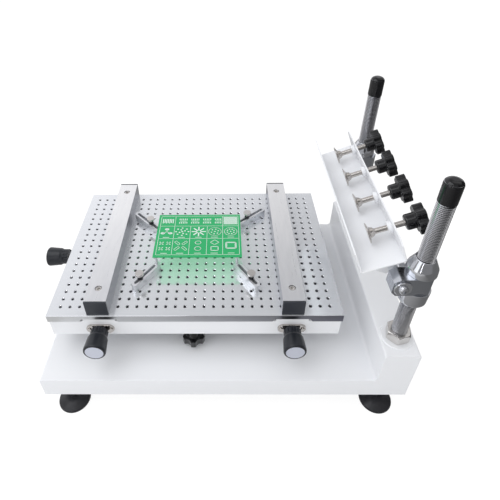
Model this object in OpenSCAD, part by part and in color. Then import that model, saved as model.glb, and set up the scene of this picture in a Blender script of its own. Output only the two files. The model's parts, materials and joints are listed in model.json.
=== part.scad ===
// Bench-top stencil printer, shown with the stencil clamp tilted up.
// Millimetres, +Z up, origin on the floor under the middle of the machine.

/* [Base] */
// Length of the base pan, left to right
base_length = 571; // [450:1:700]
// Depth of the base pan, front to back
base_depth = 360; // [300:1:450]
// Where the base pan begins on the left
base_left = -266; // [-300:1:-200]
// Height of the top of the pan over the floor
base_top = 80; // [60:1:120]
// Height of the pan's skirt
skirt_height = 40; // [25:1:60]
// Width of the raised box that carries the posts
box_width = 52; // [40:1:80]
// Height of the raised box over the pan
box_rise = 64; // [40:1:100]
// Thickness of the sheet steel
sheet = 2; // [1:0.5:3]
// Outer bend radius of the folded sheet
bend_radius = 3; // [2:0.5:6]
// Radius of the fillet where the box meets the pan
foot_fillet = 6; // [3:0.5:12]

/* [Feet] */
// Inset of the feet from the pan's left and right edges
foot_inset_x = 36; // [25:1:60]
// Inset of the feet from the pan's front and back edges
foot_inset_y = 15; // [12:1:40]
// Diameter of the rubber pads
pad_dia = 52; // [40:1:60]
// Height of the rubber pads
pad_height = 13; // [8:1:25]
// Thread diameter of the foot studs
stud_dia = 10; // [8:1:12]

/* [Platform] */
// Number of tooling holes along the plate
hole_columns = 29; // [20:1:40]
// Number of tooling holes across the plate
hole_rows = 19; // [10:1:30]
// Pitch of the tooling holes
hole_pitch = 15; // [10:1:25]
// Diameter of the tooling holes
hole_dia = 4; // [3:0.1:6]
// Margin between the outer holes and the plate's edges
plate_margin = 18; // [10:1:30]
// Thickness of the tooling plate
plate_thick = 14; // [8:1:20]
// Height of the plate's top over the floor
plate_top = 165; // [140:1:200]
// Space between the plate and the raised box
plate_gap = 50; // [20:1:80]
// Distance of the plate's middle behind the base's middle
plate_shift = 28; // [0:1:60]
// Height of the tray under the plate
tray_height = 32; // [20:1:50]
// Inset of the tray inside the plate's edges
tray_inset = 2; // [1:0.5:6]

/* [Support bars] */
// Width of a support bar
bar_width = 34; // [20:1:50]
// Height of a support bar
bar_height = 29; // [15:1:40]
// Wall of a support bar
bar_wall = 3; // [2:0.5:5]
// Thickness of the end caps
bar_cap = 3; // [2:0.5:6]
// Distance from the plate's left edge to the middle of the left bar
bar_left_inset = 80; // [40:1:130]
// Distance from the plate's right edge to the middle of the right bar
bar_right_inset = 77; // [40:1:130]
// Distance from a bar's ends to its screws
bar_screw_inset = 28; // [15:1:60]

/* [Sample board] */
// Length of the sample board
board_length = 148; // [100:1:200]
// Width of the sample board
board_width = 108; // [80:1:160]
// Thickness of the sample board
board_thick = 1.6; // [0.8:0.2:3.2]
// Height of the board over the plate
board_lift = 32; // [16:1:40]
// Distance of the board's middle from the plate's middle, to the right
board_right = 2; // [-60:1:60]
// Distance of the board's middle from the plate's middle, to the back
board_back = -8; // [-40:0.5:60]
// Width of a board holder's arm
arm_width = 12; // [8:0.5:16]
// Height of a board holder's arm
arm_height = 14; // [6:1:15]

/* [Adjusting knobs] */
// Diameter of an adjusting knob
knob_dia = 34.5; // [25:0.5:45]
// Length of an adjusting knob's grip
knob_grip = 29; // [20:1:40]
// Diameter of a knob's bright disc
disc_dia = 28; // [18:0.5:34]
// Distance from the tray to the face of a front knob
knob_reach = 44; // [38:1:60]
// Distance from the tray to the face of the side knob
side_reach = 54; // [38:1:70]
// Diameter of the spindles
spindle_dia = 10; // [6:0.5:14]

/* [Posts] */
// Diameter of the threaded posts
post_dia = 22; // [16:1:30]
// Height of the top of the posts over the floor
post_top = 429; // [360:1:520]
// Distance from the base's front and back to the posts
post_inset = 34; // [28:1:60]
// Across-flats size of the post nuts
nut_flats = 32; // [28:1:40]
// Thickness of the post nuts
nut_height = 17; // [10:1:24]

/* [Stencil clamp] */
// Height of the clamp's hinge over the floor
hinge_height = 272; // [210:1:340]
// Distance from the hinge to the post's axis
hinge_offset = 26; // [24:1:40]
// Angle of the clamp up from its working position
clamp_tilt = 68; // [0:1:70]
// Distance from the posts' axes in to the clamp channel's ends
channel_inset = 1; // [0:1:40]
// Width of the clamp channel
channel_width = 60; // [50:1:80]
// Height of the channel's flanges
flange_height = 38; // [34:1:50]
// Distance from the hinge to the channel's back
channel_stand = 26; // [24:1:40]
// Distance from the hinge to the channel's upper face
channel_over = 16; // [10:1:20]
// Distance from the channel's ends to the outer screws
screw_margin = 46; // [25:1:80]
// Diameter of the clamp screws
screw_dia = 8; // [6:1:12]
// Diameter of the pressure pads
press_dia = 29; // [18:1:36]
// Diameter of the star knobs
star_dia = 42; // [30:1:55]

/* [Hidden] */
$fn = 48;
running_gap = 0.05;
slide_gap = 0.1;
thread_gap = 0.3;
cut = 1;

base_right = base_left + base_length;
skirt_bottom = base_top - skirt_height;
box_left = base_right - box_width;
box_top = base_top + box_rise;
half_depth = base_depth / 2;
gusset_reach = 34;
gusset_low = skirt_bottom + 6;
foot_nut_flats = 17;
foot_nut_height = 8;
pad_rim = 5;

plate_length = (hole_columns - 1) * hole_pitch + 2 * plate_margin;
plate_depth = (hole_rows - 1) * hole_pitch + 2 * plate_margin;
plate_right = box_left - plate_gap;
plate_left = plate_right - plate_length;
plate_front = plate_shift - plate_depth / 2;
plate_back = plate_front + plate_depth;
plate_mid_x = (plate_left + plate_right) / 2;
plate_mid_y = (plate_front + plate_back) / 2;
plate_bottom = plate_top - plate_thick;
tray_left = plate_left + tray_inset;
tray_right = plate_right - tray_inset;
tray_front = plate_front + 1;
tray_back = plate_back - tray_inset;
tray_bottom = plate_bottom - tray_height;
tray_length = tray_right - tray_left;
tray_depth = tray_back - tray_front;
notch_width = 62;
notch_slope = 4;
notch_height = 6;
notch_depth = 14;
tab_width = 50;

bar_left_x = plate_left + bar_left_inset;
bar_right_x = plate_right - bar_right_inset;
bar_front = plate_front + 2;
bar_back = plate_back - 2;
bar_long = bar_back - bar_front - 2 * bar_cap;
bar_plug = 8;
bar_screw_head = 10;
bar_screw_hole = 11;
bar_screw_high = 6;
bar_screw_sunk = 1.2;

board_x = plate_mid_x + board_right;
board_y = plate_mid_y + board_back;
arm_slot = hole_dia + 0.8;
arm_end = 5;
peg_dia = 5;
thumb_dia = 14;
thumb_thick = 4;
thumb_rise = 9;
washer_dia = 9;
washer_thick = 3;
holder_depth = 8;
// each holder: hole column, hole row, arm angle, arm length behind the screw, arm length to its nose
holders = [[8, 12, -45, 47, 35], [8, 3, 55, 18, 46], [20, 13, 220, 45, 33], [20, 3, 124, 20, 46]];

knob_axis_z = plate_bottom - tray_height / 2;
side_knob_y = plate_mid_y + 3.5;
bracket_thick = 3;
bracket_width = 44;
bracket_height = 18;
bracket_screw = 6;
knob_neck = 27;
neck_long = 11;
neck_grooves = 12;
knob_waist = 31;
disc_thick = 1.4;
disc_sunk = 1;
spindle_sunk = 10;
spindle_tail = 30;
lock_x = plate_mid_x - 4;
lock_y = tray_front + 14;
lock_low = base_top + 9;
lock_dia = 38;
lock_high = 13;
lock_hub = 22;
lock_stem = 8;

column_high = 24;
column_top = base_top + column_high;
column_dia = 68;
column_flange = 120;
column_pad = 90;
rail_width = 30;
rail_high = 8;
cross_rail = 220;
feed_rail = 190;
slide_size = 150;
slide_thick = 6;
guide_width = 14;
guide_high = rail_high - 2;
leg_dia = 18;
leg_place = 60;
carriage_low = column_top + rail_high + slide_gap;
block_low = carriage_low + slide_thick + rail_high + slide_gap;

post_x = box_left + hinge_offset;
post_y = half_depth - post_inset;
post_low = box_top - sheet - nut_height - 21;
post_boss = 46;
cap_wall = 2.2;
cap_long = 40;
cap_over = 4;
cap_round = 9;
boss_half = 15;
boss_low = hinge_height - boss_half;
boss_high = hinge_height + boss_half;
boss_radius = 20;
knuckle_front = 17;
knuckle_back = 6;
knuckle_left = 13;
shaft_dia = 16;
cone_ring = 9;
cone_high = 15;
collar_high = 28;
collar_taper = 6;

hinge_x = box_left;
channel_length = 2 * (post_y - channel_inset);
channel_low = channel_over - channel_width;
flange_cut = 9;
screw_pitch = (channel_length - 2 * screw_margin) / 3;
screw_stand = channel_stand + sheet + 20;
bush_dia = 16;
bush_long = 12;
lug_thick = 8;
lug_place = post_y - boss_radius - 7 - lug_thick;
lug_low = channel_low + 10;
lug_back = 18;
shaft_long = 2 * (post_y + knuckle_front);
shaft_washer = 24;
shaft_head = 13;
press_room = 23;
press_face = channel_low + sheet + press_room;
star_room = 15;
star_low = channel_over + star_room;
star_hub = 22;
star_neck = 14;
star_thick = 13;
star_sink = 8;
star_lobes = 7;
star_lobe = 6;

// Which sub-part to draw, or all of them

module foot_places() {
  for (x = [base_left + foot_inset_x, base_right - foot_inset_x])
    for (y = [-half_depth + foot_inset_y, half_depth - foot_inset_y])
      translate([x, y, 0]) children();
}

module post_places() {
  for (side = [-1, 1])
    translate([post_x, side * post_y, 0]) children();
}

// a section in x and z drawn out along y, centred
module along_y(length) {
  translate([0, length / 2, 0]) rotate([90, 0, 0]) linear_extrude(height = length) children();
}

module hex_nut(flats, height, bore) {
  corner = flats / sqrt(3);
  bevel = corner - flats / 2 + 0.6;
  difference() {
    intersection() {
      cylinder(h = height, r = corner, $fn = 6);
      rotate_extrude()
        polygon([[0, 0], [corner - bevel, 0], [corner, bevel * 0.58], [corner, height - bevel * 0.58],
                 [corner - bevel, height], [0, height]]);
    }
    translate([0, 0, -cut]) cylinder(h = height + 2 * cut, d = bore);
  }
}

// a flat bar with rounded ends, lying along x
module rounded_strip(length, width, thick) {
  for (side = [-1, 1])
    translate([side * (length - width) / 2, 0, 0]) cylinder(h = thick, d = width);
  translate([-(length - width) / 2, -width / 2, 0]) cube([length - width, width, thick]);
}

// the stencil clamp's own frame: x back from the hinge, z up, in its working position
module clamp_frame() {
  translate([hinge_x, 0, hinge_height]) rotate([0, clamp_tilt, 0]) children();
}

function screw_y(i) = (i - 2.5) * screw_pitch;

// section of the folded pan with its raised box, t inside the outer skin
module pan_section(t) {
  radius = bend_radius - t / 2;
  left = base_left + t;
  right = base_right - t;
  high = skirt_height + box_rise - t;
  translate([left, skirt_bottom - t]) square([right - left, skirt_height - radius]);
  translate([left + radius, skirt_bottom]) square([right - left - radius, skirt_height - t]);
  translate([left + radius, base_top - t - radius]) circle(r = radius);
  translate([box_left + t, skirt_bottom]) square([box_width - 2 * t, high - radius]);
  translate([box_left + t + radius, skirt_bottom]) square([box_width - 2 * t - 2 * radius, high]);
  for (x = [box_left + t + radius, right - radius])
    translate([x, box_top - t - radius]) circle(r = radius);
  if (t == 0) box_fillet();
}

module box_fillet() {
  difference() {
    translate([box_left - foot_fillet, base_top - cut]) square([foot_fillet + cut, foot_fillet + cut]);
    translate([box_left - foot_fillet, base_top + foot_fillet]) circle(r = foot_fillet);
  }
}

module base_pan() {
  color("white") {
    difference() {
      along_y(base_depth) pan_section(0);
      along_y(base_depth - 2 * sheet) pan_section(sheet);
      post_places()
        translate([0, 0, box_top - sheet - cut]) cylinder(h = sheet + 2 * cut, d = post_dia + thread_gap);
    }
    difference() {
      foot_gussets();
      foot_places() translate([0, 0, skirt_bottom]) cylinder(h = skirt_height, d = stud_dia + thread_gap);
    }
  }
}

// flat corner plates that carry the foot studs
module foot_gussets() {
  for (x = [base_left + foot_inset_x, base_right - foot_inset_x])
    for (y = [-half_depth + sheet, half_depth - sheet - gusset_reach])
      translate([x - gusset_reach / 2, y, gusset_low]) cube([gusset_reach, gusset_reach, bracket_thick]);
}

module foot_pads() {
  color("black")
    foot_places()
      difference() {
        rotate_extrude()
          polygon([[0, 0], [pad_dia / 2 - 1, 0], [pad_dia / 2, 1.5], [pad_dia / 2 - 1, pad_rim],
                   [stud_dia + 3, pad_height - 2], [stud_dia - 1, pad_height], [0, pad_height]]);
        translate([0, 0, pad_rim]) cylinder(h = pad_height, d = stud_dia);
      }
}

module foot_studs() {
  color("silver")
    foot_places() {
      translate([0, 0, pad_rim]) cylinder(h = gusset_low + 16 - pad_rim, d = stud_dia);
      for (z = [gusset_low - foot_nut_height, gusset_low + bracket_thick])
        translate([0, 0, z]) hex_nut(foot_nut_flats, foot_nut_height, stud_dia - 0.2);
    }
}

module posts() {
  color("silver")
    post_places() translate([0, 0, post_low]) cylinder(h = post_top - post_low, d = post_dia);
}

module post_nuts() {
  color("silver")
    post_places()
      for (z = [box_top + sheet, box_top - sheet - nut_height])
        translate([0, 0, z]) rotate([0, 0, 15]) hex_nut(nut_flats, nut_height, post_dia);
}

// round bosses pressed up in the box's top under the nuts
module post_washers() {
  color("white")
    post_places()
      translate([0, 0, box_top])
        difference() {
          cylinder(h = sheet, d1 = post_boss + sheet, d2 = post_boss);
          translate([0, 0, -cut]) cylinder(h = sheet + 2 * cut, d = post_dia + thread_gap);
        }
}

module post_caps() {
  radius = post_dia / 2 + cap_wall;
  color("black")
    post_places()
      translate([0, 0, post_top + cap_over])
        difference() {
          rotate_extrude() cap_section(radius);
          translate([0, 0, -cap_long - cut]) cylinder(h = cap_long - cap_over + cut, d = post_dia);
        }
}

module cap_section(radius) {
  translate([0, -cap_long]) square([radius, cap_long - cap_round]);
  translate([0, -cap_round - 0.01]) square([radius - cap_round, cap_round + 0.01]);
  intersection() {
    translate([radius - cap_round, -cap_round]) circle(r = cap_round);
    translate([0, -cap_round - 0.01]) square([radius, cap_round + 0.01]);
  }
}

// the cast knuckle on each post that carries the clamp's hinge
module cross_clamps() {
  color("silver")
    for (side = [0, 1])
      mirror([0, side, 0])
        difference() {
          intersection() {
            translate([post_x, -post_y, boss_low])
              linear_extrude(height = boss_high - boss_low) knuckle_plan();
            translate([post_x, -post_y, hinge_height]) along_y(post_y) knuckle_side();
          }
          translate([post_x, -post_y, boss_low - cut])
            cylinder(h = boss_high, d = post_dia + thread_gap);
          translate([hinge_x, -post_y - knuckle_front - cut, hinge_height])
            rotate([-90, 0, 0])
              cylinder(h = knuckle_front + knuckle_back + 2 * cut, d = shaft_dia + 2 * running_gap);
        }
}

// the knuckle seen from above, the post's axis at the origin
module knuckle_plan() {
  left = -hinge_offset - knuckle_left;
  polygon([[left, -knuckle_front], [boss_radius / 2, -knuckle_front], [boss_radius + 4, 4],
           [boss_radius * 0.7, boss_radius], [-boss_radius * 0.6, boss_radius],
           [-boss_radius + 2, knuckle_back], [left, knuckle_back]]);
}

// the knuckle seen from the front, its slanted corners
module knuckle_side() {
  left = -hinge_offset - knuckle_left - cut;
  right = boss_radius + 5;
  slant = 7;
  polygon([[left, -boss_half + slant], [left + slant, -boss_half], [right, -boss_half], [right, boss_half - 4],
           [right - 6, boss_half], [left + slant + 2, boss_half], [left, boss_half - slant]]);
}

module upper_collars() {
  color("silver")
    post_places()
      translate([0, 0, boss_high])
        difference() {
          rotate_extrude()
            polygon([[0, 0], [boss_radius, 0], [boss_radius - 0.5, cone_ring],
                     [post_dia / 2 + 1.5, cone_ring + cone_high], [0, cone_ring + cone_high]]);
          translate([0, 0, -cut]) cylinder(h = cone_ring + cone_high + 2 * cut, d = post_dia);
        }
}

module lower_collars() {
  color("silver")
    post_places()
      translate([0, 0, boss_low - collar_high])
        difference() {
          rotate_extrude()
            polygon([[0, 0], [boss_radius - 5, 0], [boss_radius - 1, collar_taper],
                     [boss_radius, collar_high], [0, collar_high]]);
          translate([0, 0, -cut]) cylinder(h = collar_high + 2 * cut, d = post_dia);
        }
}

module pedestal() {
  color("gray")
    translate([plate_mid_x, plate_mid_y, 0]) {
      translate([0, 0, base_top]) cylinder(h = slide_thick, d = column_flange);
      translate([0, 0, base_top + slide_thick])
        cylinder(h = column_top - base_top - slide_thick, d = column_dia);
      translate([-cross_rail / 2, -rail_width / 2, column_top]) cube([cross_rail, rail_width, rail_high]);
      translate([-column_pad / 2, -column_pad / 2, column_top - 4]) cube([column_pad, column_pad, 4]);
    }
}

// middle slide: runs along x on the pedestal and carries the y rail
module carriage() {
  color("silver")
    translate([plate_mid_x, plate_mid_y, carriage_low]) {
      slide_plate();
      translate([-rail_width / 2, -feed_rail / 2, slide_thick]) cube([rail_width, feed_rail, rail_high]);
    }
}

// a slide's plate with the two guides that hang beside its rail, the rail along x
module slide_plate() {
  translate([-slide_size / 2, -slide_size / 2, 0]) cube([slide_size, slide_size, slide_thick]);
  for (y = [-rail_width / 2 - slide_gap - guide_width, rail_width / 2 + slide_gap])
    translate([-slide_size / 2, y, -guide_high]) cube([slide_size, guide_width, guide_high]);
}

// slide block under the tray, running along y on the carriage
module tray_slide() {
  color("silver")
    translate([plate_mid_x, plate_mid_y, block_low]) {
      rotate([0, 0, 90]) slide_plate();
      for (x = [-leg_place, leg_place])
        for (y = [-leg_place, leg_place])
          translate([x, y, slide_thick])
            cylinder(h = plate_bottom - sheet - block_low - slide_thick, d = leg_dia);
    }
}

module tray() {
  color("white") {
    difference() {
      translate([tray_left, tray_front, tray_bottom]) cube([tray_length, tray_depth, tray_height]);
      translate([tray_left + sheet, tray_front + sheet, tray_bottom - cut])
        cube([tray_length - 2 * sheet, tray_depth - 2 * sheet, tray_height - sheet + cut]);
      for (x = [bar_left_x, bar_right_x])
        translate([x, tray_front - cut, knob_axis_z])
          rotate([-90, 0, 0]) cylinder(h = sheet + 2 * cut, d = spindle_dia + 4);
      translate([tray_left - cut, side_knob_y, knob_axis_z])
        rotate([0, 90, 0]) cylinder(h = sheet + 2 * cut, d = spindle_dia + 4);
    }
    for (x = [bar_left_x, bar_right_x])
      translate([x - tab_width / 2, tray_front, plate_bottom - 0.5])
        cube([tab_width, sheet, notch_height - 0.5]);
  }
}

module tooling_plate() {
  color("lightgray")
    difference() {
      translate([plate_left, plate_front, plate_bottom]) cube([plate_length, plate_depth, plate_thick]);
      for (x = [bar_left_x, bar_right_x])
        translate([x, plate_front - cut, plate_bottom])
          rotate([-90, 0, 0]) linear_extrude(height = notch_depth + cut) notch_outline();
      tooling_holes();
    }
}

// the cut in the plate's lower front edge above each knob
module notch_outline() {
  half = notch_width / 2;
  polygon([[-half, cut], [half, cut], [half, 0], [half - notch_slope, -notch_height],
           [-half + notch_slope, -notch_height], [-half, 0]]);
}

module tooling_holes() {
  for (i = [0 : hole_columns - 1])
    for (j = [0 : hole_rows - 1])
      translate([plate_left + plate_margin + i * hole_pitch, plate_front + plate_margin + j * hole_pitch,
                 plate_bottom - cut])
        cylinder(h = plate_thick + 2 * cut, d = hole_dia, $fn = 16);
}

module bar_screw_places() {
  for (x = [bar_left_x, bar_right_x])
    for (y = [bar_front + bar_screw_inset, bar_back - bar_screw_inset])
      translate([x, y, plate_top]) children();
}

module support_bars() {
  color("silver")
    difference() {
      for (x = [bar_left_x, bar_right_x])
        difference() {
          translate([x - bar_width / 2, bar_front + bar_cap, plate_top])
            cube([bar_width, bar_long, bar_height]);
          translate([x - bar_width / 2 + bar_wall, bar_front + bar_cap - cut, plate_top + bar_wall])
            cube([bar_width - 2 * bar_wall, bar_long + 2 * cut, bar_height - 2 * bar_wall]);
        }
      bar_screw_places()
        translate([0, 0, bar_height - bar_wall - cut])
          cylinder(h = bar_wall + 2 * cut, d = bar_screw_hole);
    }
}

module bar_caps() {
  color("dimgray")
    for (x = [bar_left_x, bar_right_x])
      for (side = [0, 1])
        translate([x, side > 0 ? bar_back : bar_front, plate_top])
          mirror([0, side, 0]) {
            translate([-bar_width / 2, 0, 0]) cube([bar_width, bar_cap, bar_height]);
            translate([-bar_width / 2 + bar_wall, bar_cap - 0.5, bar_wall])
              cube([bar_width - 2 * bar_wall, bar_plug, bar_height - 2 * bar_wall]);
          }
}

// socket screws on sleeves that stand on the bars' lower wall
module bar_screws() {
  high = bar_height - bar_screw_sunk - bar_wall;
  color("silver")
    bar_screw_places()
      translate([0, 0, bar_wall])
        difference() {
          union() {
            cylinder(h = high - 2, d = bar_screw_head - 2);
            translate([0, 0, high - bar_screw_high]) cylinder(h = bar_screw_high, d = bar_screw_head);
          }
          translate([0, 0, high - 3]) cylinder(h = 4, d = 5.8, $fn = 6);
        }
}

module holder_places() {
  for (h = holders)
    translate([plate_left + plate_margin + h[0] * hole_pitch, plate_front + plate_margin + h[1] * hole_pitch,
               plate_top])
      children();
}

module holder_washers() {
  color("black")
    holder_places()
      translate([0, 0, arm_height])
        difference() {
          cylinder(h = washer_thick, d = washer_dia);
          translate([0, 0, -cut]) cylinder(h = washer_thick + 2 * cut, d = hole_dia);
        }
}

module holder_screws() {
  color("silver")
    holder_places() {
      translate([0, 0, -holder_depth])
        cylinder(h = holder_depth + arm_height + thumb_rise + thumb_thick, d = hole_dia);
      translate([0, 0, arm_height + thumb_rise]) cylinder(h = thumb_thick, d = thumb_dia);
    }
}

// slotted arms that lie on the plate, each with a peg at its nose under the board
module holder_arms() {
  color("silver")
    for (h = holders)
      translate([plate_left + plate_margin + h[0] * hole_pitch,
                 plate_front + plate_margin + h[1] * hole_pitch, plate_top])
        rotate([0, 0, h[2]]) {
          difference() {
            translate([(h[4] - h[3]) / 2, 0, 0]) rounded_strip(h[3] + h[4], arm_width, arm_height);
            translate([(h[4] - h[3] - arm_end) / 2, 0, -cut])
              rounded_strip(h[3] + h[4] - 3 * arm_end, arm_slot, arm_height + 2 * cut);
          }
          translate([h[4] - arm_width / 2, 0, arm_height - cut])
            cylinder(h = board_lift - arm_height + cut, d = peg_dia);
        }
}

module sample_board() {
  color("green")
    translate([board_x - board_length / 2, board_y - board_width / 2, plate_top + board_lift])
      cube([board_length, board_width, board_thick]);
}

// moves a knob drawn along +z from its bracket to its place on the tray
module left_place() {
  translate([bar_left_x, tray_front - bracket_thick, knob_axis_z]) rotate([90, 0, 0]) children();
}

module right_place() {
  translate([bar_right_x, tray_front - bracket_thick, knob_axis_z]) rotate([90, 0, 0]) children();
}

module side_place() {
  translate([tray_left - bracket_thick, side_knob_y, knob_axis_z]) rotate([0, -90, 0]) children();
}

module knob_brackets() {
  color("silver") {
    left_place() knob_bracket();
    right_place() knob_bracket();
    side_place() rotate([0, 0, 90]) knob_bracket();
  }
}

// plate with rounded ends and a screw in each ear
module knob_bracket() {
  difference() {
    translate([0, 0, -bracket_thick]) rounded_strip(bracket_width, bracket_height, bracket_thick);
    translate([0, 0, -bracket_thick - cut])
      cylinder(h = bracket_thick + 2 * cut, d = spindle_dia + 2 * running_gap);
  }
  for (side = [-1, 1])
    translate([side * (bracket_width / 2 - 5), 0, -cut]) cylinder(h = cut + 1.6, d = bracket_screw);
}

// grip that widens to its face, on a grooved neck towards the tray
module knob_body(reach) {
  top = reach - bracket_thick;
  low = top - knob_grip;
  neck_top = low + 2;
  neck_low = max(1, neck_top - neck_long);
  color("black")
    difference() {
      rotate_extrude()
        polygon([[0, neck_low], [knob_neck / 2, neck_low], [knob_neck / 2, neck_top],
                 [knob_waist / 2, neck_top + 4], [knob_dia / 2, top - 3], [knob_dia / 2 - 0.6, top - 1],
                 [knob_dia / 2 - 1.8, top], [0, top]]);
      translate([0, 0, top - disc_sunk]) cylinder(h = disc_sunk + cut, d = disc_dia);
      translate([0, 0, -cut]) cylinder(h = low + spindle_sunk + cut, d = spindle_dia);
      for (k = [1 : neck_grooves])
        rotate([0, 0, k * 360 / neck_grooves])
          translate([knob_neck / 2 + 0.4, 0, neck_low - cut])
            cylinder(h = neck_top - neck_low - 1, r = 1.9, $fn = 16);
    }
}

module knob_disc(reach) {
  color("silver")
    translate([0, 0, reach - bracket_thick - disc_sunk]) cylinder(h = disc_thick - disc_sunk / 2, d = disc_dia);
}

module knob_spindle(reach) {
  low = reach - bracket_thick - knob_grip;
  color("silver")
    translate([0, 0, -spindle_tail]) cylinder(h = spindle_tail + low + spindle_sunk, d = spindle_dia);
}

module left_knob() {
  left_place() knob_body(knob_reach);
}

module left_disc() {
  left_place() knob_disc(knob_reach);
}

module left_spindle() {
  left_place() knob_spindle(knob_reach);
}

module right_knob() {
  right_place() knob_body(knob_reach);
}

module right_disc() {
  right_place() knob_disc(knob_reach);
}

module right_spindle() {
  right_place() knob_spindle(knob_reach);
}

module side_knob() {
  side_place() knob_body(side_reach);
}

module side_disc() {
  side_place() knob_disc(side_reach);
}

module side_spindle() {
  side_place() knob_spindle(side_reach);
}

// knob under the front of the tray that locks the platform
module lock_knob() {
  stem_low = lock_low + lock_high + 7;
  color("black")
    translate([lock_x, lock_y, 0]) {
      difference() {
        translate([0, 0, lock_low]) cylinder(h = lock_high, d = lock_dia);
        for (k = [1 : 6])
          rotate([0, 0, k * 60])
            translate([lock_dia * 0.6, 0, lock_low - cut]) cylinder(h = lock_high + 2 * cut, d = lock_dia * 0.4);
      }
      translate([0, 0, lock_low + lock_high]) cylinder(h = 8, d1 = lock_hub, d2 = lock_hub - 6);
      translate([0, 0, stem_low]) cylinder(h = plate_bottom - sheet - stem_low, d = lock_stem);
    }
}

// folded channel, open towards the stencil, with its front corners cut off
module clamp_channel() {
  back = -channel_stand;
  color("white")
    clamp_frame()
      difference() {
        along_y(channel_length) channel_section();
        for (side = [-1, 1])
          translate([back - flange_height, side * channel_length / 2, channel_over - sheet - cut])
            rotate([0, 0, 45])
              translate([-flange_cut * 0.7, -flange_cut * 0.7, 0])
                cube([flange_cut * 1.4, flange_cut * 1.4, sheet + 2 * cut]);
        for (i = [1 : 4])
          translate([-screw_stand, screw_y(i), channel_over - sheet - cut])
            cylinder(h = sheet + 2 * cut, d = screw_dia + 2 * running_gap);
      }
}

module channel_section() {
  back = -channel_stand;
  difference() {
    union() {
      translate([back - flange_height, channel_low]) square([flange_height - bend_radius, channel_width]);
      translate([back - bend_radius - cut, channel_low + bend_radius])
        square([bend_radius + cut, channel_width - 2 * bend_radius]);
      for (z = [channel_low + bend_radius, channel_over - bend_radius])
        translate([back - bend_radius, z]) circle(r = bend_radius);
    }
    translate([back - flange_height - cut, channel_low + sheet])
      square([flange_height - sheet + cut, channel_width - 2 * sheet]);
  }
}

module screw_bushes() {
  color("white")
    clamp_frame()
      for (i = [1 : 4])
        translate([-screw_stand, screw_y(i), channel_over - sheet - bush_long])
          difference() {
            cylinder(h = bush_long, d = bush_dia);
            translate([0, 0, -cut]) cylinder(h = bush_long + 2 * cut, d = screw_dia + 2 * running_gap);
          }
}

// two lugs that carry the channel on the hinge shaft
module hinge_lugs() {
  color("white")
    clamp_frame()
      for (side = [0, 1])
        mirror([0, side, 0])
          translate([0, lug_place + lug_thick / 2, 0])
            difference() {
              along_y(lug_thick) lug_outline();
              translate([0, -lug_thick, 0]) rotate([-90, 0, 0]) cylinder(h = 2 * lug_thick, d = shaft_dia);
            }
}

module lug_outline() {
  polygon([[-channel_stand, lug_low], [-channel_stand, channel_over - bend_radius],
           [-channel_stand + 8, channel_over], [lug_back - 6, channel_over], [lug_back, channel_over - 6],
           [lug_back, -channel_over + 4], [lug_back - 10, -channel_over - 6], [-channel_stand + 6, lug_low]]);
}

module hinge_shaft() {
  color("silver")
    clamp_frame()
      rotate([-90, 0, 0]) {
        translate([0, 0, -shaft_long / 2]) cylinder(h = shaft_long, d = shaft_dia);
        for (side = [0, 1])
          mirror([0, 0, side]) translate([0, 0, shaft_long / 2 + thread_gap]) shaft_end();
      }
}

// washer and round-headed socket screw in the end of the shaft
module shaft_end() {
  difference() {
    rotate_extrude()
      polygon([[0, -cut], [shaft_dia / 2 - cut, -cut], [shaft_dia / 2 - cut, 0], [shaft_washer / 2, 0],
               [shaft_washer / 2, 1.6], [shaft_washer / 2 - 1, 2.5], [shaft_head / 2, 2.5],
               [shaft_head / 2, 4], [shaft_head / 2 - 1.2, 6.2], [shaft_head / 4, 7.5], [0, 7.5]]);
    translate([0, 0, 4.5]) cylinder(h = 4, d = 4.6, $fn = 6);
  }
}

// clamp screw with its trumpet-shaped pressure pad
module clamp_screw(i) {
  waist = screw_dia / 2;
  long = star_low + star_sink - press_face;
  color("silver")
    clamp_frame()
      translate([-screw_stand, screw_y(i), press_face])
        rotate_extrude()
          polygon([[0, 0], [press_dia / 2, 0], [press_dia / 2, 1.2], [2 * waist, 3.5], [1.5 * waist, 8],
                   [waist, 10], [waist, long], [0, long]]);
}

module star_knob(i) {
  color("black")
    clamp_frame()
      translate([-screw_stand, screw_y(i), star_low])
        difference() {
          union() {
            rotate_extrude()
              polygon([[0, 0], [star_hub / 2 - 1.5, 0], [star_hub / 2, 2], [star_hub / 2, star_neck + cut],
                       [0, star_neck + cut]]);
            translate([0, 0, star_neck]) linear_extrude(height = star_thick) star_outline();
          }
          translate([0, 0, -cut]) cylinder(h = star_sink + cut, d = screw_dia);
        }
}

// round lobes with hollows between them
module star_outline() {
  difference() {
    circle(r = star_dia / 2 - star_lobe / 2);
    for (k = [0 : star_lobes - 1])
      rotate([0, 0, (k + 0.5) * 360 / star_lobes])
        translate([star_dia / 2 + 1, 0]) circle(r = star_lobe - 1);
  }
  for (k = [0 : star_lobes - 1])
    rotate([0, 0, k * 360 / star_lobes]) translate([star_dia / 2 - star_lobe, 0]) circle(r = star_lobe);
}

module screw_1() {
  clamp_screw(1);
}

module screw_2() {
  clamp_screw(2);
}

module screw_3() {
  clamp_screw(3);
}

module screw_4() {
  clamp_screw(4);
}

module star_knob_1() {
  star_knob(1);
}

module star_knob_2() {
  star_knob(2);
}

module star_knob_3() {
  star_knob(3);
}

module star_knob_4() {
  star_knob(4);
}

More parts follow.
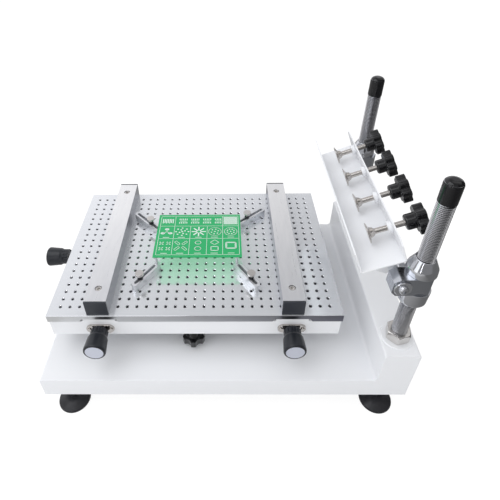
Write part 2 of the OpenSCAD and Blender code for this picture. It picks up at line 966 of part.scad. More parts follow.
base_pan();
foot_pads();
foot_studs();
posts();
post_nuts();
post_washers();
post_caps();
cross_clamps();
upper_collars();
lower_collars();
pedestal();
carriage();
tray_slide();
tray();
tooling_plate();
support_bars();
bar_caps();
bar_screws();
holder_washers();
holder_screws();
holder_arms();
sample_board();
knob_brackets();
lock_knob();
left_knob();
left_disc();
left_spindle();
right_knob();
right_disc();
right_spindle();
side_knob();
side_disc();
side_spindle();
clamp_channel();
screw_bushes();
hinge_lugs();
hinge_shaft();
screw_1();
star_knob_1();
screw_2();
star_knob_2();
screw_3();
star_knob_3();
screw_4();
star_knob_4();
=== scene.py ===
import json
import math

import bmesh
import bpy
from mathutils import Matrix, Vector

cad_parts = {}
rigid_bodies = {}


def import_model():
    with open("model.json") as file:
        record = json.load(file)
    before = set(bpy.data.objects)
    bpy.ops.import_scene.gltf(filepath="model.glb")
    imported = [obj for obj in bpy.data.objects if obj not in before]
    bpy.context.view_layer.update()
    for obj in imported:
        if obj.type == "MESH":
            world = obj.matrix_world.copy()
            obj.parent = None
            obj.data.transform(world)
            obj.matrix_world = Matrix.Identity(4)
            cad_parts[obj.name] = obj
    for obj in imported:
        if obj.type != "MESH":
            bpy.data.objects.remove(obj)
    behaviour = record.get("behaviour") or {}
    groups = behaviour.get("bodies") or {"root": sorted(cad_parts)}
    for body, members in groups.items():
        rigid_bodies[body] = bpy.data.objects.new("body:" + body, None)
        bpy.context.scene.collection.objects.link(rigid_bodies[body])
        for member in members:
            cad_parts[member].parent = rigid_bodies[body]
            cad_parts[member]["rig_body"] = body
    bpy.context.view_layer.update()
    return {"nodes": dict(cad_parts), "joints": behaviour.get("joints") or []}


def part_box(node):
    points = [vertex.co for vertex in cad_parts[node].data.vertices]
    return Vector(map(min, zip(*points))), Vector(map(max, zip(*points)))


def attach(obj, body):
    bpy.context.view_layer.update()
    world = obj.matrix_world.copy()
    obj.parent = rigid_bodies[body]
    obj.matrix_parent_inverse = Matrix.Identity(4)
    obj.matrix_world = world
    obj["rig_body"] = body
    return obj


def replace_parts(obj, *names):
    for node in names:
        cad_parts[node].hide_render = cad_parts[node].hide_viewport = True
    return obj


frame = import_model()
mm = 0.001
print("frame loaded:", len(frame["nodes"]), "nodes")


# materials

class Wire:  # one output socket; sums on it add Math nodes
    def __init__(self, recipe, socket):
        self.recipe, self.socket = recipe, socket

    def calc(self, operation, a, b=0.0):
        return self.recipe.node("ShaderNodeMath", {"operation": operation}, {0: a, 1: b})

    def __add__(self, other):
        return self.calc("ADD", self, other)

    def __sub__(self, other):
        return self.calc("SUBTRACT", self, other)

    def __mul__(self, other):
        return self.calc("MULTIPLY", self, other)

    def __rsub__(self, other):
        return self.calc("SUBTRACT", other, self)

    __radd__, __rmul__ = __add__, __mul__


class Recipe:  # a material with its Principled shader
    def __init__(self, name, fixed):
        self.material = bpy.data.materials.new(name)
        self.material.use_nodes = True
        self.tree = self.material.node_tree
        self.shader = self.tree.nodes["Principled BSDF"]
        for socket, value in fixed.items():
            self.shader.inputs[socket].default_value = value

    def node(self, kind, settings, values, output=0):
        made = self.tree.nodes.new(kind)
        for key, value in settings.items():
            if key == "stops":
                ramp = made.color_ramp
                for place, colour in value:
                    stop = ramp.elements.new(place)
                    stop.color = (*colour, 1) if hasattr(colour, "__len__") else (colour, colour, colour, 1)
                ramp.elements.remove(ramp.elements[0])
                ramp.elements.remove(ramp.elements[-1])
            else:
                setattr(made, key, value)
        for key, value in values.items():
            if isinstance(value, Wire):
                self.tree.links.new(value.socket, made.inputs[key])
            else:
                made.inputs[key].default_value = value
        return Wire(self, made.outputs[output])

    def place(self, scale=(1, 1, 1), turn=(0, 0, 0)):  # object coordinates, stretched and turned
        spot = self.node("ShaderNodeTexCoord", {}, {}, "Object")
        return self.node("ShaderNodeMapping", {}, {"Vector": spot, "Scale": scale, "Rotation": turn})

    def speckle(self, scale, detail=2.0, stretch=(1, 1, 1), turn=(0, 0, 0)):
        return self.node("ShaderNodeTexNoise", {}, {"Vector": self.place(stretch, turn), "Scale": scale, "Detail": detail})

    def mixColour(self, share, a, b):
        kept = self.tree.nodes.new("ShaderNodeMix")
        kept.data_type = "RGBA"
        for key, value in ((0, share), (6, a), (7, b)):
            if isinstance(value, Wire):
                self.tree.links.new(value.socket, kept.inputs[key])
            else:
                kept.inputs[key].default_value = value
        return Wire(self, kept.outputs[2])

    def feed(self, socket, wire):
        self.tree.links.new(wire.socket, self.shader.inputs[socket])

    def bump(self, height, depth, strength=1.0):
        self.feed("Normal", self.node("ShaderNodeBump", {}, {"Height": height, "Distance": depth, "Strength": strength}))


paints = {
    "powder": {"colour": (0.85, 0.86, 0.885, 1), "rough": 0.34, "grain": 1400},
    "plate": {"colour": (0.77, 0.79, 0.825, 1), "rough": 0.13, "metal": 0.66},
    "bore": {"colour": (0.80, 0.80, 0.83, 1), "rough": 0.12},
    "edge": {"left": (0.88, 0.89, 0.90, 1), "right": (0.20, 0.20, 0.24, 1), "rough": 0.30},
    # bar top: the lighter back colour is a painted reflection of the bright back
    "bar": {"front": (0.72, 0.73, 0.76, 1), "back": (1.0, 1.0, 1.0, 1), "rough": 0.28},
    "side": {"colour": (0.50, 0.51, 0.54, 1), "rough": 0.34},
    "chrome": {"colour": (0.72, 0.73, 0.76, 1), "rough": 0.12},
    "thread": {"colour": (0.84, 0.84, 0.86, 1), "rough": 0.15},
    # dark painted shade for the threads' upright faces
    "paintedThreadShade": {"colour": (0.14, 0.14, 0.15, 1), "rough": 0.2},
    "rod": {"colour": (0.56, 0.53, 0.50, 1), "rough": 0.18},
    "arm": {"colour": (0.74, 0.75, 0.78, 1), "rough": 0.3, "metal": 0.7},
    "casting": {"colour": (0.54, 0.56, 0.60, 1), "rough": 0.17},
    "nickel": {"colour": (0.70, 0.68, 0.66, 1), "rough": 0.22},
    "disc": {"colour": (0.72, 0.75, 0.86, 1), "rough": 0.35, "metal": 0.45},
}


def powderPaint():
    look = paints["powder"]
    made = Recipe("powderWhite", {"Base Color": look["colour"], "Roughness": look["rough"], "IOR": 1.5})
    made.bump(made.speckle(look["grain"], 1.0), 0.00004, 0.35)
    made.feed("Roughness", made.speckle(60, 3.0) * 0.12 + (look["rough"] - 0.06))
    return made.material


def polishedPlate():
    look = paints["plate"]
    made = Recipe("polishedPlate", {"Metallic": look["metal"]})
    lines = made.speckle(1.0, 3.0, (18, 900, 18))
    made.feed("Base Color", made.mixColour(lines, look["colour"], (0.88, 0.895, 0.92, 1)))
    made.feed("Roughness", lines * 0.06 + made.speckle(14, 3.0) * 0.05 + (look["rough"] - 0.05))
    made.bump(lines, 0.000008, 0.4)
    return made.material


def brushedBar():
    look = paints["bar"]
    made = Recipe("brushedBar", {"Metallic": 1.0})
    grain = made.speckle(1.0, 4.0, (900, 14, 900), (0, 0, math.radians(7)))
    toneAndSheenPatch = made.speckle(1.0, 4.0, (160, 26, 160), (0, 0, math.radians(-11)))
    along = made.node("ShaderNodeSeparateXYZ", {}, {"Vector": made.place()}, "Y")
    share = made.node("ShaderNodeMapRange", {}, {"Value": along, "From Min": -0.16, "From Max": 0.08})
    # painted reflection: the bar top is lighter towards the back, and the diagonal patches mix brushed tone with
    # painted streaks of sheen
    made.feed("Base Color", made.mixColour(toneAndSheenPatch * 0.4 + share * 0.7, look["front"], look["back"]))
    made.feed("Roughness", grain * 0.16 + toneAndSheenPatch * 0.1 + (look["rough"] - 0.1))
    made.bump(grain, 0.00003, 0.5)
    return made.material


def sawnEdge():  # the plate's edges, greyer to the right where they catch less light
    look = paints["edge"]
    made = Recipe("sawnEdge", {"Metallic": 1.0})
    spot = made.node("ShaderNodeTexCoord", {}, {}, "Object")
    share = made.node("ShaderNodeMapRange", {}, {"Value": made.node("ShaderNodeSeparateXYZ", {}, {"Vector": spot}),
                                                 "From Min": -0.25, "From Max": 0.2})
    made.feed("Base Color", made.mixColour(share, look["left"], look["right"]))
    streaks = made.speckle(1.0, 3.0, (40, 40, 2200))
    made.feed("Roughness", streaks * 0.14 + (look["rough"] - 0.07))
    return made.material


def plainMetal(name, look, wear=0.06, scale=120):
    made = Recipe(name, {"Base Color": look["colour"], "Metallic": look.get("metal", 1.0)})
    made.feed("Roughness", made.speckle(scale, 3.0) * wear + (look["rough"] - wear / 2))
    return made.material


def castMetal():
    look = paints["casting"]
    made = Recipe("castMetal", {"Base Color": look["colour"], "Metallic": 1.0})
    swell = made.speckle(45, 2.0)
    made.feed("Roughness", swell * 0.14 + (look["rough"] - 0.05))
    made.bump(swell, 0.0009, 0.35)
    return made.material


# glow paints light: an emission in the part's own colour
def plainPlastic(name, colour, rough, coat=0.0, grain=0.0, glow=0.0):
    made = Recipe(name, {"Base Color": colour, "Roughness": rough, "Coat Weight": coat, "Coat Roughness": 0.08,
                         "Emission Color": colour, "Emission Strength": glow})
    made.feed("Roughness", made.speckle(240, 2.0) * 0.1 + (rough - 0.05))
    if grain:
        made.bump(made.speckle(1100, 2.0), 0.00006, grain)
    return made.material


coats = {
    "powder": powderPaint(),
    "plate": polishedPlate(),
    "edge": sawnEdge(),
    "bar": brushedBar(),
    "side": plainMetal("barSide", paints["side"], 0.14, 200),
    "chrome": plainMetal("brightChrome", paints["chrome"]),
    "thread": plainMetal("threadSteel", paints["thread"], 0.1),
    "paintedThreadShade": plainMetal("threadSteelPaintedShade", paints["paintedThreadShade"], 0.1),
    "rod": plainMetal("rodSteel", paints["rod"], 0.08),
    "arm": plainMetal("armSteel", paints["arm"], 0.16, 90),
    "bore": plainMetal("boreRim", paints["bore"], 0.05),
    "casting": castMetal(),
    "nickel": plainMetal("satinNickel", paints["nickel"], 0.1),
    "disc": plainMetal("discFinish", paints["disc"], 0.08),
    "rubber": plainPlastic("footRubber", (0.018, 0.018, 0.022, 1), 0.34, grain=0.2),
    "cap": plainPlastic("capRubber", (0.004, 0.004, 0.005, 1), 0.12),
    "black": plainPlastic("blackPlastic", (0.006, 0.006, 0.007, 1), 0.17, coat=0.3),
    "matt": plainPlastic("knobPlastic", (0.012, 0.014, 0.019, 1), 0.34, grain=0.4),
    "end": plainPlastic("endPlastic", (0.030, 0.034, 0.044, 1), 0.45, grain=0.4),
    # painted light: the board glows a little, and its underside is a lighter green copy that glows more, for light
    # through the board and its bright reflection in the plate
    "green": plainPlastic("boardGreen", (0.012, 0.36, 0.115, 1), 0.2, coat=0.2, glow=0.12),
    "under": plainPlastic("boardUndersideGlow", (0.30, 0.60, 0.40, 1), 0.3, glow=0.64),
    "mask": plainPlastic("boardPrint", (0.70, 0.80, 0.75, 1), 0.35),
}
print("materials ready:", len(coats))


# helpers for the pieces

def settle(name, form, coat, body, soft=35):  # bmesh to a finished piece on its body
    for face in form.faces:
        face.smooth = True
    mesh = bpy.data.meshes.new(name)
    form.to_mesh(mesh)
    form.free()
    mesh.set_sharp_from_angle(angle=math.radians(soft))
    piece = bpy.data.objects.new(name, mesh)
    bpy.context.scene.collection.objects.link(piece)
    piece.data.materials.append(coats[coat])
    even = piece.modifiers.new("even", "WEIGHTED_NORMAL")
    even.keep_sharp = True
    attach(piece, body)
    return piece


def nodeCopy(name):  # a CAD node's triangles, joined up again
    form = bmesh.new()
    form.from_mesh(frame["nodes"][name].data)
    bmesh.ops.remove_doubles(form, verts=form.verts, dist=2e-6)
    bmesh.ops.dissolve_limit(form, angle_limit=math.radians(0.4), verts=form.verts, edges=form.edges)
    return form


def breakCorners(form, width, segments=2, corner=35, chosen=lambda edge: True):
    edges = [e for e in form.edges
             if len(e.link_faces) == 2 and e.calc_face_angle(0) > math.radians(corner) and chosen(e)]
    if edges:
        bmesh.ops.bevel(form, geom=edges, offset=width * mm, offset_type="OFFSET", affect="EDGES",
                        segments=segments, profile=0.5, material=-1, clamp_overlap=True)


def dressNode(name, pieceName, coat, width=0.4, segments=2, corner=35, soft=35):
    form = nodeCopy(name)
    breakCorners(form, width, segments, corner)
    piece = settle(pieceName, form, coat, frame["nodes"][name]["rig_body"], soft)
    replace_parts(piece, name)
    return piece


def secondCoat(piece, coat, test):  # another material on the faces that pass the test, for a second finish, painted shade or a painted glow
    piece.data.materials.append(coats[coat])
    for face in piece.data.polygons:
        if test(face):
            face.material_index = len(piece.data.materials) - 1


# pieces that keep the CAD form, with their corners broken

dressed = {
    "base_pan": ("basePan", "powder", 1.2, 3),
    "foot_pads": ("footPads", "rubber", 0.8, 2),
    "foot_studs": ("footStuds", "chrome", 0.3, 1),
    "post_nuts": ("postNuts", "nickel", 0.5, 2),
    "post_washers": ("boxBosses", "powder", 0.8, 2),
    "cross_clamps": ("crossClamps", "casting", 1.2, 3),
    "upper_collars": ("upperCollars", "chrome", 0.8, 2),
    "lower_collars": ("lowerCollars", "chrome", 0.8, 2),
    "pedestal": ("pedestalBody", "end", 0.6, 1),
    "carriage": ("crossSlide", "nickel", 0.5, 1),
    "tray_slide": ("traySlide", "nickel", 0.5, 1),
    "tray": ("trayPan", "powder", 1.0, 3),
    "support_bars": ("supportBars", "bar", 0.5, 2),
    "bar_caps": ("barCaps", "end", 0.4, 2),
    "bar_screws": ("barScrews", "nickel", 0.3, 1),
    "holder_washers": ("holderWashers", "matt", 0.4, 1),
    "holder_screws": ("holderScrews", "nickel", 0.5, 2),
    "holder_arms": ("holderArms", "arm", 0.5, 2),
    "sample_board": ("sampleBoard", "green", 0.15, 1),
    "knob_brackets": ("knobBrackets", "rod", 0.5, 1),
    "lock_knob": ("lockKnob", "black", 0.8, 2),
    "clamp_channel": ("clampChannel", "powder", 0.7, 2),
    "hinge_lugs": ("hingeLugs", "powder", 0.8, 2),
    "hinge_shaft": ("hingeShaft", "chrome", 0.5, 2),
}
for side in ("left", "right", "side"):
    dressed[side + "_knob"] = (side + "Knob", "matt", 1.0, 3)
    dressed[side + "_disc"] = (side + "Disc", "disc", 0.2, 1)
    dressed[side + "_spindle"] = (side + "Spindle", "nickel", 0.3, 1)
for number in (1, 2, 3, 4):
    dressed[f"screw_{number}"] = (f"clampScrew{number}", "rod", 0.3, 1)
    dressed[f"star_knob_{number}"] = (f"starKnob{number}", "black", 1.6, 3)
for node, (pieceName, coat, width, segments) in dressed.items():
    if node in frame["nodes"]:
        dressNode(node, pieceName, coat, width, segments)
print("dressed pieces:", len(dressed))


def makeBushes():  # short collars inside the channel's upper flange
    form = nodeCopy("screw_bushes")
    way = Vector(next(joint["axis"] for joint in frame["joints"] if joint["name"] == "screw_1_travel")).normalized()
    flange = max(vert.co.dot(way) for vert in form.verts)
    for vert in form.verts:
        vert.co += way * (flange - vert.co.dot(way)) * 0.5
    breakCorners(form, 0.5, 1)
    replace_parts(settle("screwBushes", form, "powder", "clamp"), "screw_bushes")


makeBushes()


cap = {"slim": 0.86, "short": 0.80}


def makeCaps():  # the caps hug the rods closer than their CAD bores
    form = nodeCopy("post_caps")
    low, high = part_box("post_caps")
    reach = (high.x - low.x) / 2
    for vert in form.verts:
        for end in (low.y + reach, high.y - reach):
            if abs(vert.co.y - end) <= reach * 1.01:
                vert.co.x = low.x + reach + (vert.co.x - low.x - reach) * cap["slim"]
                vert.co.y = end + (vert.co.y - end) * cap["slim"]
                vert.co.z = high.z + (vert.co.z - high.z) * cap["short"]
                break
    breakCorners(form, 0.4, 1)
    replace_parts(settle("postCaps", form, "cap", "frame"), "post_caps")


makeCaps()


# threaded posts

thread = {"crest": 11.0, "depth": 1.35, "pitch": 2.5, "steps": 26}


def copyAlong(form, step, count):  # copies of everything in the form, a step apart
    first = form.verts[:] + form.edges[:] + form.faces[:]
    for k in range(1, count):
        more = bmesh.ops.duplicate(form, geom=first)["geom"]
        bmesh.ops.translate(form, vec=step * k, verts=[v for v in more if isinstance(v, bmesh.types.BMVert)])


def threadedRod(low, high, crest, depth, pitch, steps):  # one wound turn, copied up and cut off flat
    form = bmesh.new()
    section = [(crest - depth, 0), (crest, 0.22), (crest, 0.58), (crest - depth, 0.84), (crest - depth, 1)]
    line = [form.verts.new((radius * mm, 0, low + (share - 1) * pitch)) for radius, share in section]
    wire = [form.edges.new(pair) for pair in zip(line, line[1:])]
    bmesh.ops.spin(form, geom=line + wire, cent=(0, 0, 0), axis=(0, 0, 1), dvec=(0, 0, pitch / steps),
                   angle=math.tau, steps=steps)
    copyAlong(form, Vector((0, 0, pitch)), 4)
    copyAlong(form, Vector((0, 0, 4 * pitch)), int((high - low) / pitch / 4) + 2)
    bmesh.ops.remove_doubles(form, verts=form.verts, dist=2e-6)
    for height, way in ((low, -1), (high, 1)):
        bmesh.ops.bisect_plane(form, geom=form.verts[:] + form.edges[:] + form.faces[:], plane_co=(0, 0, height),
                               plane_no=(0, 0, way), clear_outer=True, dist=1e-7)
    bmesh.ops.holes_fill(form, edges=[e for e in form.edges if e.is_boundary], sides=0)
    bmesh.ops.recalc_face_normals(form, faces=form.faces)
    return form


def makePosts():
    low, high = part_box("posts")
    form = threadedRod(low.z, high.z, thread["crest"], thread["depth"], thread["pitch"] * mm, thread["steps"])
    bmesh.ops.translate(form, vec=((low.x + high.x) / 2, low.y + thread["crest"] * mm, 0), verts=form.verts)
    copyAlong(form, Vector((0, high.y - low.y - 2 * thread["crest"] * mm, 0)), 2)
    piece = settle("threadedPosts", form, "thread", "frame")
    # painted shade: the upright crest and root faces get a dark coat that draws the thread's dark lines
    secondCoat(piece, "paintedThreadShade", lambda face: abs(face.normal.z) < 0.2)
    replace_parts(piece, "posts")


makePosts()
print("posts wound")


# tooling plate, its holes countersunk

drill = {"columns": 29, "rows": 19, "pitch": 15, "margin": 18, "bore": 2.0, "flare": 2.9, "sunk": 0.8, "sides": 20}


def drillRow(form):  # every hole's cutter, from one spun section
    low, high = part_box("tooling_plate")
    x, y = low.x + drill["margin"] * mm, low.y + drill["margin"] * mm
    over = 1.0 * mm
    flare = (drill["flare"] + (drill["flare"] - drill["bore"]) * 1.0 / drill["sunk"]) * mm
    section = [(0, low.z - over), (drill["bore"] * mm, low.z - over), (drill["bore"] * mm, high.z - drill["sunk"] * mm),
               (flare, high.z + over), (0, high.z + over)]
    line = [form.verts.new((x + out, y, height)) for out, height in section]
    wire = [form.edges.new(pair) for pair in zip(line, line[1:])]
    bmesh.ops.spin(form, geom=line + wire, cent=(x, y, 0), axis=(0, 0, 1), dvec=(0, 0, 0), angle=math.tau,
                   steps=drill["sides"], use_merge=True)
    bmesh.ops.remove_doubles(form, verts=form.verts, dist=1e-6)
    bmesh.ops.recalc_face_normals(form, faces=form.faces)
    copyAlong(form, Vector((drill["pitch"] * mm, 0, 0)), drill["columns"])
    copyAlong(form, Vector((0, drill["pitch"] * mm, 0)), drill["rows"])


def cutNotches(form):  # the two cuts in the front edge over the knobs
    low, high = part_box("tooling_plate")
    for knob in ("left_knob", "right_knob"):
        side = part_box(knob)
        middle = (side[0].x + side[1].x) / 2
        shape = [(-31, -1), (31, -1), (31, 0), (27, 6), (-27, 6), (-31, 0)]
        face = form.faces.new([form.verts.new((middle + x * mm, low.y - mm, low.z + z * mm)) for x, z in shape])
        grown = bmesh.ops.extrude_face_region(form, geom=[face])["geom"]
        bmesh.ops.translate(form, vec=(0, 15 * mm, 0), verts=[v for v in grown if isinstance(v, bmesh.types.BMVert)])
    bmesh.ops.recalc_face_normals(form, faces=form.faces)


def makePlate():
    low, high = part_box("tooling_plate")
    form = bmesh.new()
    bmesh.ops.create_cube(form, size=1)
    bmesh.ops.scale(form, vec=high - low, verts=form.verts)
    bmesh.ops.translate(form, vec=(low + high) / 2, verts=form.verts)
    breakCorners(form, 0.5, 2)
    piece = settle("toolingPlate", form, "plate", "platform")
    cutters = bmesh.new()
    drillRow(cutters)
    cutNotches(cutters)
    mesh = bpy.data.meshes.new("cutters")
    cutters.to_mesh(mesh)
    cutters.free()
    tool = bpy.data.objects.new("cutters", mesh)
    bpy.context.scene.collection.objects.link(tool)
    piece.modifiers.clear()
    cut = piece.modifiers.new("holes", "BOOLEAN")
    cut.object, cut.operation, cut.solver = tool, "DIFFERENCE", "EXACT"
    bpy.context.view_layer.update()
    piece.data = bpy.data.meshes.new_from_object(piece.evaluated_get(bpy.context.evaluated_depsgraph_get()))
    piece.modifiers.clear()
    bpy.data.objects.remove(tool)
    for face in piece.data.polygons:
        face.use_smooth = False
    secondCoat(piece, "edge", lambda face: abs(face.normal.z) < 0.5)
    secondCoat(piece, "bore", lambda face: 0.5 <= face.normal.z < 0.95)
    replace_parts(piece, "tooling_plate")


makePlate()
print("plate drilled")


# the sample board's print: plain pads, rings and frames

ink = {"line": 0.7, "thick": 0.04}


def inkStroke(form, a, b, width, level):
    start, end = Vector((*a, 0)) * mm, Vector((*b, 0)) * mm
    way = (end - start).normalized() * width * mm / 2
    side = Vector((-way.y, way.x, 0))
    up = Vector((0, 0, level))
    form.faces.new([form.verts.new(spot + up) for spot in
                    (start - way - side, end + way - side, end + way + side, start - way + side)])


def inkLoop(form, points, width, level):
    for a, b in zip(points, points[1:] + points[:1]):
        inkStroke(form, a, b, width, level)


def inkDot(form, centre, across, tall, level, sides=16, turn=0.0):
    form.faces.new([form.verts.new(((centre[0] + across / 2 * math.cos(math.tau * k / sides + turn)) * mm,
                                    (centre[1] + tall / 2 * math.sin(math.tau * k / sides + turn)) * mm, level))
                    for k in range(sides)])


def around(centre, radius, count, turn=0.0, flat=1.0):
    return [(centre[0] + radius * math.cos(math.tau * k / count + turn),
             centre[1] + radius * flat * math.sin(math.tau * k / count + turn)) for k in range(count)]


def makePrint():
    low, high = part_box("sample_board")
    form = bmesh.new()
    wide, deep = (high.x - low.x) / mm, (high.y - low.y) / mm
    columns = [wide * share for share in (0.03, 0.206, 0.40, 0.60, 0.785, 0.975)]
    rows = [deep * share for share in (0.05, 0.41, 0.71, 0.96)]
    level, line = ink["thick"] * mm, ink["line"]
    inkLoop(form, [(columns[0], rows[0]), (columns[5], rows[0]), (columns[5], rows[3]), (columns[0], rows[3])], line, level)
    for row in rows[1:3]:
        inkStroke(form, (columns[0], row), (columns[5], row), line, level)
    for k, column in enumerate(columns[1:5]):
        inkStroke(form, (column, rows[0]), (column, rows[3] if k in (0, 3) else rows[2]), line, level)
    middles = [(a + b) / 2 for a, b in zip(columns, columns[1:])]
    centre, base = (rows[1] + rows[2]) / 2 + 1.5, (rows[0] + rows[1]) / 2 + 2
    for k, middle in enumerate(middles):  # plain dashes under the figures
        for row in (rows[0] + 3.6, rows[1] + 3.2):
            inkStroke(form, (middle - 5 - k % 2, row), (middle + 5, row), 1.1, level)
    for spot in around((middles[0], centre - 0.5), 7.5, 3, math.pi / 2, 0.9):
        inkDot(form, spot, 8, 5.4, level)
        inkStroke(form, (middles[0], centre), spot, 1.2, level)
    for spot in around((middles[1], centre), 11, 8, 0, 0.85) + around((middles[1], centre), 5, 4, 0.4) + [(middles[1], centre)]:
        inkDot(form, spot, 3.4, 2.6, level)
    for inner, outer in zip(around((middles[2], centre), 4, 8, 0.0), around((middles[2], centre), 11.5, 8, 0.0, 0.95)):
        inkStroke(form, inner, outer, 2.3, level)
    for column in (3, 4):
        inkLoop(form, around((middles[column], centre), 11.2, 24 if column == 3 else 16, 0.2, 0.92), 1.0, level)
        for spot in around((middles[column], centre), 6.2, 6 if column == 3 else 8, 0.3) + [(middles[column], centre)]:
            inkDot(form, spot, 2.8, 2.4, level)
    for dx in (-6, 6):
        for dy in (-7, 6):
            for spot in around((middles[0] + dx, base + dy), 3.6, 4, math.pi / 4):
                inkDot(form, spot, 2.6, 2.6, level, 4)
            inkLoop(form, around((middles[0] + dx, base + dy), 2.0, 4), 0.5, level)
    for dx, dy in ((-1, 1), (1, 1), (1, -1), (-1, -1)):
        spot = (middles[1] + dx * 6.3, base + dy * 6.6)
        turn = math.atan2(dy, dx)
        inkLoop(form, [(spot[0] + x * math.cos(turn) - y * math.sin(turn), spot[1] + x * math.sin(turn) + y * math.cos(turn))
                       for x, y in ((-5, -2), (5, -2), (5, 2), (-5, 2))], 0.8, level)
    inkLoop(form, around((middles[2], base + 7.5), 5.4, 6, 0, 0.8), 1.1, level)
    inkLoop(form, around((middles[2], base - 7), 5.6, 8, math.pi / 8, 0.85), 1.1, level)
    inkLoop(form, around((middles[3], base + 8), 7.4, 4, 0, 0.8), 1.0, level)
    inkLoop(form, around((middles[3], base - 7), 8.6, 4, math.pi / 4, 0.75), 1.3, level)
    inkLoop(form, around((middles[4], base + 0.5), 12.0, 4, math.pi / 4, 0.86), 1.6, level)
    inkLoop(form, around((middles[4], base + 0.5), 9.6, 4, math.pi / 4, 0.86), 0.6, level)
    head = (rows[2] + rows[3]) / 2
    for k in range(7):  # pad rows of four chips along the head of the board
        inkStroke(form, (middles[0] - 9 + 3 * k, head - 5 + k % 2), (middles[0] - 9 + 3 * k, head + 5), 1.7, level)
    for chip in range(4):
        left = columns[1] + 8 + chip * 21.5
        for k in range(5):
            for row in (-6, 3):
                inkStroke(form, (left + 3.2 * k, head + row), (left + 3.2 * k, head + row + 3), 1.5, level)
        inkStroke(form, (left + 1, head), (left + 11.5, head), 1.0, level)
    for k in range(9):
        row = rows[2] + 5.2 + 2.3 * k
        inkStroke(form, (columns[4] + 2.5, row), (columns[5] - 2.5, row), 1.75, level)
    bmesh.ops.translate(form, vec=(low.x, low.y, high.z), verts=form.verts)
    bmesh.ops.recalc_face_normals(form, faces=form.faces)
    piece = settle("boardPrint", form, "mask", "platform")
    piece.modifiers.clear()


makePrint()
secondCoat(bpy.data.objects["supportBars"], "side", lambda face: abs(face.normal.x) > 0.7)
# painted light: the board's underside gets the lighter, glowing copy of the green
secondCoat(bpy.data.objects["sampleBoard"], "under", lambda face: face.normal.z < -0.5)
print("board printed")


# studio

studio = {"white": 0.9, "floorGlow": 0.78, "floorLight": 1.13, "shineLeft": 0.62, "shineRight": 0.16,
          "ambient": 0.82, "key": 13, "front": 2, "low": 3, "lean": 0.4, "dark": 0.75,
          "sky": ((0.0, 0.95), (0.45, 1.0), (0.62, 0.74), (0.75, 0.5), (0.86, 0.42), (1.0, 0.5))}


def softBox(name, place, aim, size, power, tint=(1, 1, 1)):
    lamp = bpy.data.lights.new(name, "AREA")
    lamp.shape, lamp.size, lamp.energy, lamp.color = "SQUARE", size, power, tint
    holder = bpy.data.objects.new(name, lamp)
    holder.location = place
    holder.rotation_euler = (Vector(aim) - Vector(place)).to_track_quat("-Z", "Y").to_euler()
    bpy.context.scene.collection.objects.link(holder)
    return holder


def paleFloor():
    form = bmesh.new()
    bmesh.ops.create_grid(form, x_segments=1, y_segments=1, size=6)
    mesh = bpy.data.meshes.new("floor")
    form.to_mesh(mesh)
    form.free()
    floor = bpy.data.objects.new("floor", mesh)
    bpy.context.scene.collection.objects.link(floor)
    made = Recipe("paleFloor", {"Base Color": (studio["white"],) * 3 + (1,), "Roughness": 0.9})
    path = made.node("ShaderNodeLightPath", {}, {}, "Is Camera Ray")
    shine = made.node("ShaderNodeLightPath", {}, {}, "Is Glossy Ray")
    spot = made.node("ShaderNodeTexCoord", {}, {}, "Object")
    across = made.node("ShaderNodeSeparateXYZ", {}, {"Vector": spot})
    level = made.node("ShaderNodeMapRange", {}, {"Value": across, "From Min": -0.5, "From Max": 0.5,
                                                 "To Min": studio["shineLeft"], "To Max": studio["shineRight"]})
    glow = made.node("ShaderNodeEmission", {}, {"Color": (1, 1, 1, 1),
                                                "Strength": path * studio["floorLight"] + shine * level})
    out = made.tree.nodes["Material Output"]
    both = made.node("ShaderNodeMixShader", {}, {0: path * studio["floorGlow"] + shine, 2: glow})
    made.tree.links.new(made.shader.outputs[0], both.socket.node.inputs[1])
    made.tree.links.new(both.socket, out.inputs["Surface"])
    floor.data.materials.append(made.material)


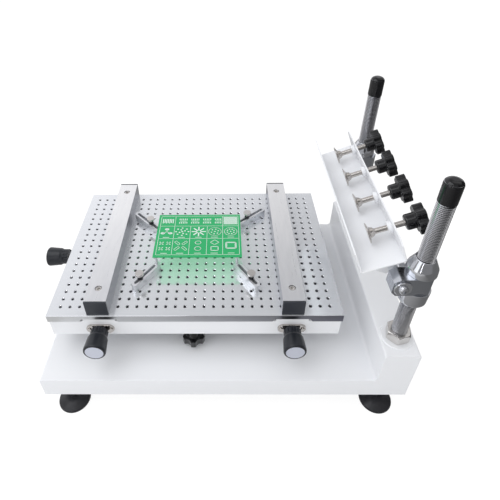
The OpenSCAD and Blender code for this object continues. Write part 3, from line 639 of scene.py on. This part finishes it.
def studioWorld():
    world = bpy.data.worlds.new("studio")
    world.use_nodes = True
    bpy.context.scene.world = world
    tree = world.node_tree
    back = tree.nodes["Background"]
    path = tree.nodes.new("ShaderNodeLightPath")
    seen = tree.nodes.new("ShaderNodeMath")
    seen.operation = "MAXIMUM"
    tree.links.new(path.outputs["Is Camera Ray"], seen.inputs[0])
    tree.links.new(path.outputs["Is Glossy Ray"], seen.inputs[1])
    every = tree.nodes.new("ShaderNodeMath")
    every.operation = "MAXIMUM"
    tree.links.new(seen.outputs[0], every.inputs[0])
    tree.links.new(path.outputs["Is Transmission Ray"], every.inputs[1])
    level = tree.nodes.new("ShaderNodeMapRange")
    level.inputs["To Min"].default_value = studio["ambient"]
    level.inputs["To Max"].default_value = 1.0
    tree.links.new(every.outputs[0], level.inputs["Value"])
    way = tree.nodes.new("ShaderNodeTexCoord")
    parts = tree.nodes.new("ShaderNodeSeparateXYZ")
    tree.links.new(way.outputs["Generated"], parts.inputs[0])
    sky = tree.nodes.new("ShaderNodeValToRGB")
    front = tree.nodes.new("ShaderNodeMapRange")  # darker towards the room in front
    for socket, value in (("From Min", -0.3), ("From Max", 0.25), ("To Min", studio["dark"]), ("To Max", 0.0)):
        front.inputs[socket].default_value = value
    tree.links.new(parts.outputs["Y"], front.inputs["Value"])
    shade = tree.nodes.new("ShaderNodeMath")
    shade.operation = "MULTIPLY"
    tree.links.new(front.outputs[0], shade.inputs[0])
    tree.links.new(path.outputs["Is Glossy Ray"], shade.inputs[1])
    light = tree.nodes.new("ShaderNodeMath")
    light.operation = "SUBTRACT"
    tree.links.new(level.outputs[0], light.inputs[0])
    tree.links.new(shade.outputs[0], light.inputs[1])
    tree.links.new(light.outputs[0], back.inputs["Strength"])
    lean = tree.nodes.new("ShaderNodeMath")
    lean.operation, lean.inputs[1].default_value = "MULTIPLY_ADD", studio["lean"]
    tree.links.new(parts.outputs["X"], lean.inputs[0])
    tree.links.new(parts.outputs["Z"], lean.inputs[2])
    tree.links.new(lean.outputs[0], sky.inputs[0])
    for place, value in studio["sky"]:
        sky.color_ramp.elements.new(place).color = (value, value, value * 1.03, 1)
    sky.color_ramp.elements.remove(sky.color_ramp.elements[0])
    sky.color_ramp.elements.remove(sky.color_ramp.elements[-1])
    blend = tree.nodes.new("ShaderNodeMix")
    blend.data_type = "RGBA"
    tree.links.new(path.outputs["Is Glossy Ray"], blend.inputs[0])
    blend.inputs[6].default_value = (1, 1, 1, 1)
    tree.links.new(sky.outputs[0], blend.inputs[7])
    tree.links.new(blend.outputs[2], back.inputs["Color"])


def greyCard(name, place, aim, width, height, level):  # a flag that only bright metal sees
    form = bmesh.new()
    bmesh.ops.create_grid(form, x_segments=1, y_segments=1, size=0.5)
    bmesh.ops.scale(form, vec=(width, height, 1), verts=form.verts)
    turn = (Vector(aim) - Vector(place)).to_track_quat("-Z", "Y").to_matrix().to_4x4()
    bmesh.ops.transform(form, matrix=Matrix.Translation(place) @ turn, verts=form.verts)
    mesh = bpy.data.meshes.new(name)
    form.to_mesh(mesh)
    form.free()
    card = bpy.data.objects.new(name, mesh)
    bpy.context.scene.collection.objects.link(card)
    made = Recipe(name, {"Base Color": (0, 0, 0, 1), "Roughness": 1.0, "Emission Color": (level, level, level * 1.04, 1),
                         "Emission Strength": 1.0, "Specular IOR Level": 0.0})
    card.data.materials.append(made.material)
    card.visible_camera = card.visible_diffuse = card.visible_shadow = False
    card.visible_transmission = card.visible_volume_scatter = False


paleFloor()
studioWorld()
softBox("keyLight", (-1.0, -0.3, 1.9), (0, 0, 0.1), 1.6, studio["key"], (0.95, 0.97, 1.0))
softBox("frontLight", (0.1, -1.3, 1.6), (0, 0, 0.1), 1.5, studio["front"], (0.96, 0.98, 1.0))
softBox("lowLight", (-1.5, -1.0, 0.5), (0.15, 0, 0.1), 0.9, studio["low"], (0.96, 0.98, 1.0))
greyCard("windowCard", (-0.62, -1.55, 1.1), (0.28, -0.15, 0.35), 0.07, 1.6, 6.0)
greyCard("rightCard", (1.8, 0.2, 0.6), (0.2, 0, 0.3), 1.2, 1.6, 0.06)
greyCard("leftCard", (-2.2, -0.8, 0.6), (0, 0, 0.3), 0.9, 1.6, 0.12)
print("studio ready")


# camera, measured from the picture's own perspective

view = {"place": (0.0245, -0.5354, 0.7122), "down": 35.994, "turn": 1.305, "roll": -1.216, "lens": 30.95,
        "shift": (0.0652, -0.1328)}


def setCamera():
    eye = bpy.data.cameras.new("eye")
    eye.lens, eye.sensor_width, eye.sensor_fit = view["lens"], 36.0, "HORIZONTAL"
    eye.shift_x, eye.shift_y = view["shift"]
    eye.clip_start, eye.clip_end = 0.05, 20
    holder = bpy.data.objects.new("eye", eye)
    bpy.context.scene.collection.objects.link(holder)
    turned = (Matrix.Rotation(math.radians(view["turn"]), 4, "Z")
              @ Matrix.Rotation(math.radians(90 - view["down"]), 4, "X")
              @ Matrix.Rotation(math.radians(view["roll"]), 4, "Z"))
    holder.matrix_world = Matrix.Translation(view["place"]) @ turned
    bpy.context.scene.camera = holder


setCamera()
bpy.context.scene.view_settings.view_transform = "Standard"
